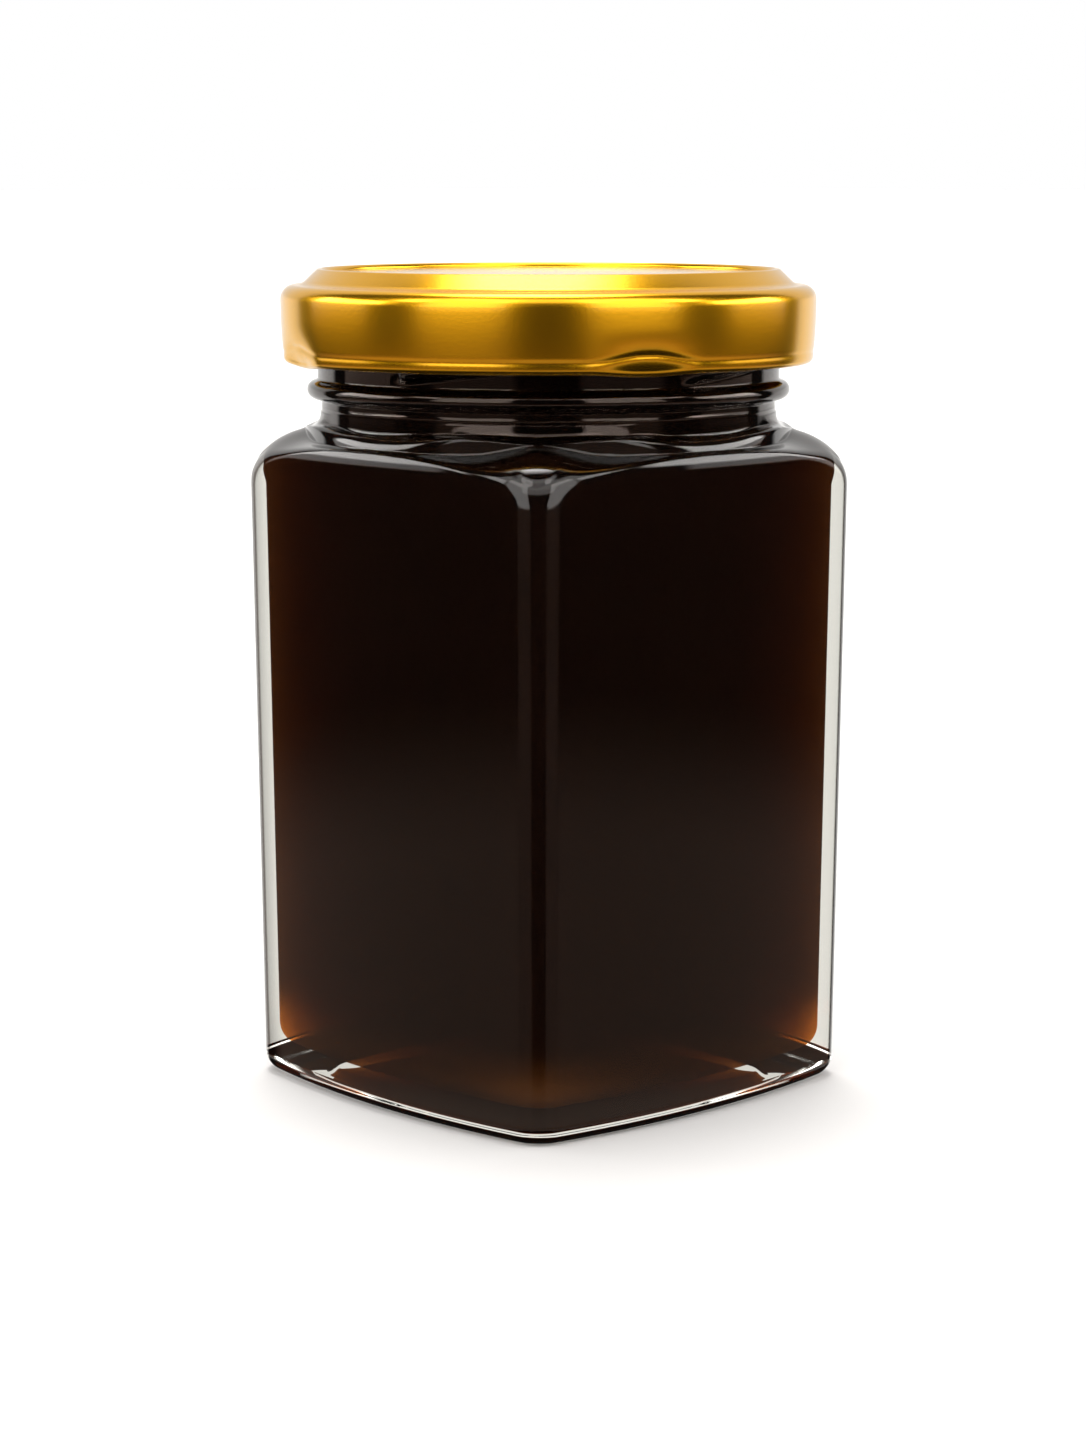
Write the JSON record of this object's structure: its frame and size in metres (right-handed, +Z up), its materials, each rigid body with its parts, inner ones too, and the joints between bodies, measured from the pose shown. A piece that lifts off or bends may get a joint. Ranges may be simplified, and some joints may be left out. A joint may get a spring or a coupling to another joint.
{
  "type": "honey jar",
  "caption": "Square glass jar with bulging faces, full of dark honey and shut by a round twist-off metal lid.",
  "frame": {"origin": "centre of the base, on the surface that the jar stands on", "axes": "+Z up through the middle of the lid; the four faces look along +X, -X, +Y and -Y"},
  "size_m": [0.0664, 0.0664, 0.1024],
  "materials": {
    "glass": "clear moulded glass, fire polished",
    "honey": "dark clear honey, wet against the glass",
    "lid": "satin gold lacquer on tinplate"
  },
  "bodies": {
    "root": {"glass_jar": "glass", "honey": "honey", "lid": "lid"}
  },
  "joints": []
}
